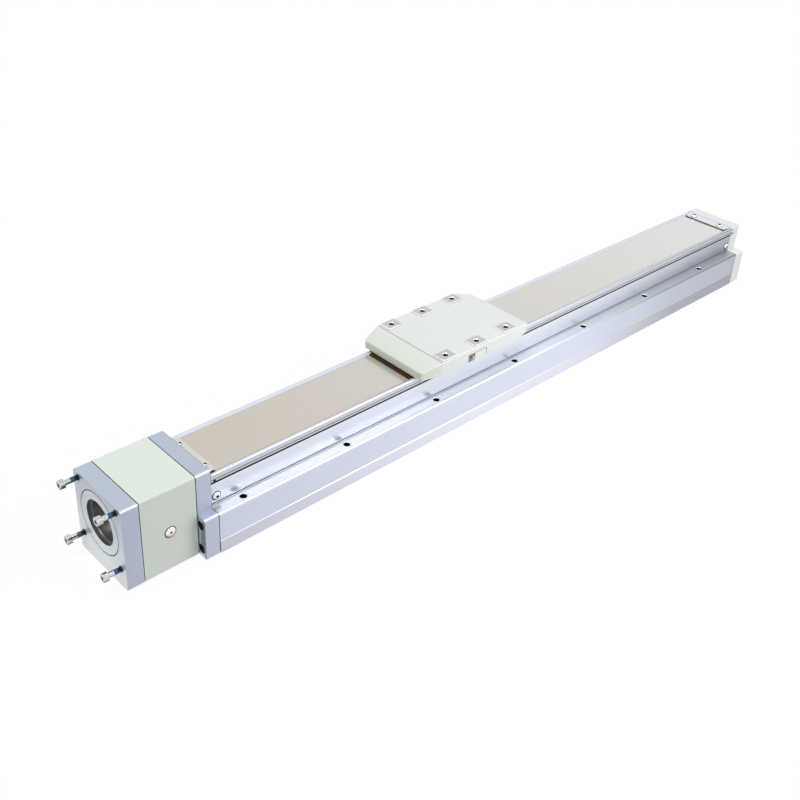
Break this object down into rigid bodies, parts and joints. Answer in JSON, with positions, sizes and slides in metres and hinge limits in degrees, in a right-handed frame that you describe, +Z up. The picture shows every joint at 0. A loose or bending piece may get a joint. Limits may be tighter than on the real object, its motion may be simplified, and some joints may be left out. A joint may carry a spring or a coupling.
{
  "type": "ball screw linear stage",
  "caption": "Long linear stage with a ball screw in an enclosed aluminium profile, a steel cover strip, a carriage with mounting pads and a motor adapter plate.",
  "frame": {"origin": "underside of the base profile, at the middle of the profile's length and width", "axes": "+X along the screw away from the motor end, +Z up through the carriage, +Y completes the frame; the grease nipple is on the -Y side"},
  "size_m": [0.7908, 0.0826, 0.0772],
  "materials": {
    "anodised_aluminium": "satin anodised, faint bluish tint",
    "cream_paint": "fine satin, pale cream grey",
    "strip_steel": "rolled thin strip, warm grey",
    "ground_steel": "ground",
    "stainless_screws": "stainless",
    "black_screws": "black oxide",
    "black_rubber": "matt",
    "grey_plastic": "moulded, dark brown grey",
    "brass": "turned",
    "hub_aluminium": "turned",
    "spider_polyurethane": "elastic, dark red"
  },
  "bodies": {
    "base": {"base_profile": "anodised_aluminium", "guide_rail_left": "ground_steel", "guide_rail_right": "ground_steel", "side_cover_left": "anodised_aluminium", "side_cover_right": "anodised_aluminium", "magnet_strips": "black_rubber", "side_screws": "stainless_screws", "groove_plugs": "black_rubber", "cover_strip": "strip_steel", "strip_clamp_front": "anodised_aluminium", "strip_clamp_rear": "anodised_aluminium", "strip_clamp_screws": "stainless_screws", "bumpers_front": "black_rubber", "bumpers_rear": "black_rubber", "bearing_block": "anodised_aluminium", "bearing_block_screws": "black_screws", "bearing_set": "ground_steel", "coupling_housing": "cream_paint", "access_plug": "stainless_screws", "motor_plate": "anodised_aluminium", "motor_screws": "stainless_screws", "rear_block": "anodised_aluminium", "end_cap": "cream_paint", "end_cap_screws": "black_screws"},
    "screw": {"screw_shaft": "ground_steel", "lock_nut": "ground_steel", "coupling_hub_motor": "hub_aluminium", "coupling_spider": "spider_polyurethane", "coupling_hub_screw": "hub_aluminium"},
    "carriage": {"saddle": "ground_steel", "ball_nut": "ground_steel", "nut_screws": "black_screws", "carriage_cover": "cream_paint", "access_cap": "cream_paint", "grease_nipple": "brass", "strip_guide_front": "grey_plastic", "strip_guide_rear": "grey_plastic", "wiper_front": "black_rubber", "wiper_rear": "black_rubber"},
    "lift_roller_front": {"lift_roller_front": "ground_steel"},
    "lift_roller_rear": {"lift_roller_rear": "ground_steel"}
  },
  "joints": [
    {"name": "carriage_slide", "type": "slide", "parent": "base", "child": "carriage", "axis": [1, 0, 0], "range_m": [-0.1755, 0.3245], "deforming": ["cover_strip"]},
    {"name": "screw_spin", "type": "hinge", "parent": "base", "child": "screw", "pos_m": [0, 0, 0.0415], "axis": [1, 0, 0], "range_deg": [-11686, 6322]},
    {"name": "roller_front_spin", "type": "hinge", "parent": "carriage", "child": "lift_roller_front", "pos_m": [-0.1168, 0, 0.06566], "axis": [0, 1, 0], "range_deg": [-9301, 5032]},
    {"name": "roller_rear_spin", "type": "hinge", "parent": "carriage", "child": "lift_roller_rear", "pos_m": [-0.0322, 0, 0.06566], "axis": [0, 1, 0], "range_deg": [-9301, 5032]}
  ],
  "couplings": [
    {"joint": "screw_spin", "follows": "carriage_slide", "rad_per_m": -628.32},
    {"joint": "roller_front_spin", "follows": "carriage_slide", "rad_per_m": -500},
    {"joint": "roller_rear_spin", "follows": "carriage_slide", "rad_per_m": -500}
  ]
}
